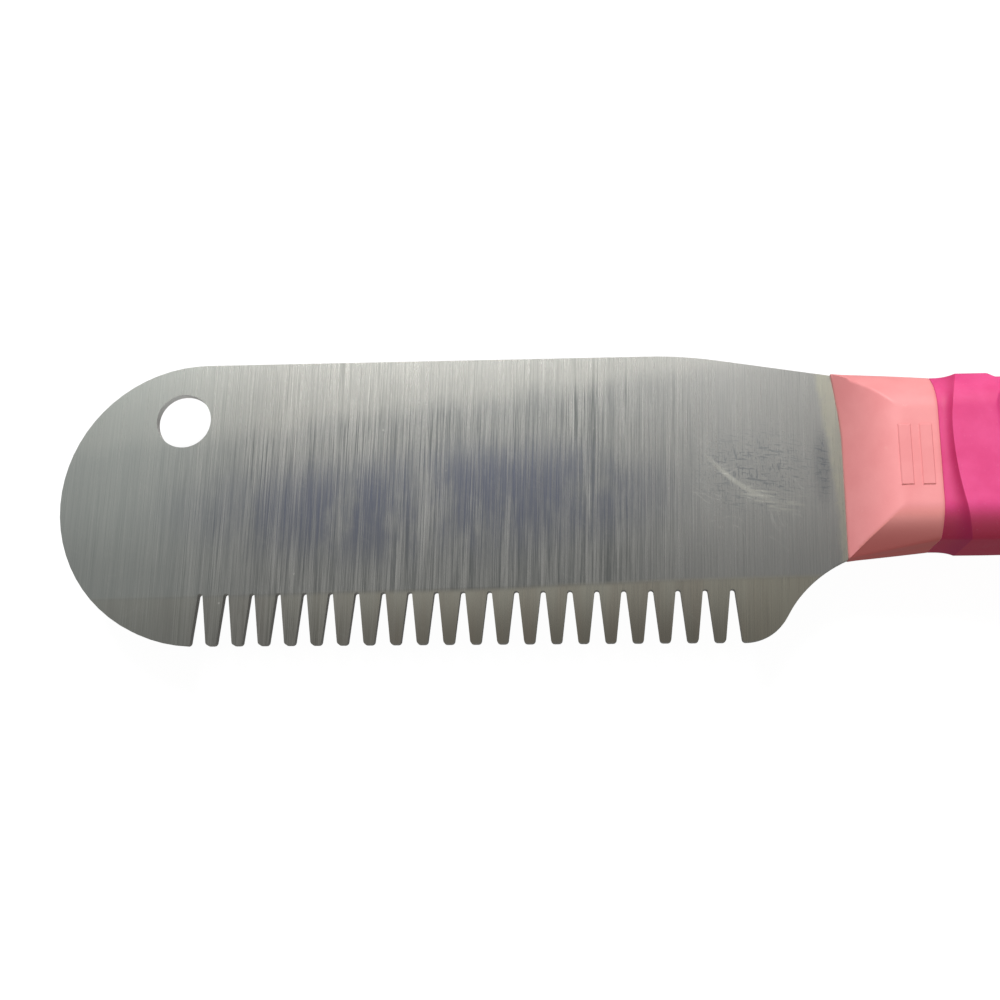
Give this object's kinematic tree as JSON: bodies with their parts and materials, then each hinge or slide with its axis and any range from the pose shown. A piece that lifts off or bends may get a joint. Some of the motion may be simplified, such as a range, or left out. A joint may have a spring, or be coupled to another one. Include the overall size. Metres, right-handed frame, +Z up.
{
  "type": "dematting comb",
  "caption": "Hand-held pet dematting comb: a flat steel blade with a toothed lower edge and a hang hole, in a two-colour handle with a soft collared grip.",
  "frame": {"origin": "on the plane the comb lies on, under the middle of its outline: midway between toe and butt, and midway between tooth tips and spine", "axes": "+X along the length from the blade's toe to the butt of the handle, +Y across the blade from the tooth tips to the spine, +Z up through the thickness, out of the ground front face"},
  "size_m": [0.1894, 0.0294, 0.0124],
  "materials": {
    "blade_steel": "satin",
    "pin_steel": "satin",
    "adhesive": "satin",
    "core_plastic": "satin",
    "grip_rubber": "matte"
  },
  "bodies": {
    "root": {"blade": "blade_steel", "tang_pins": "pin_steel", "tang_adhesive": "adhesive", "front_shell": "core_plastic", "back_shell": "core_plastic", "grip": "grip_rubber"}
  },
  "joints": []
}
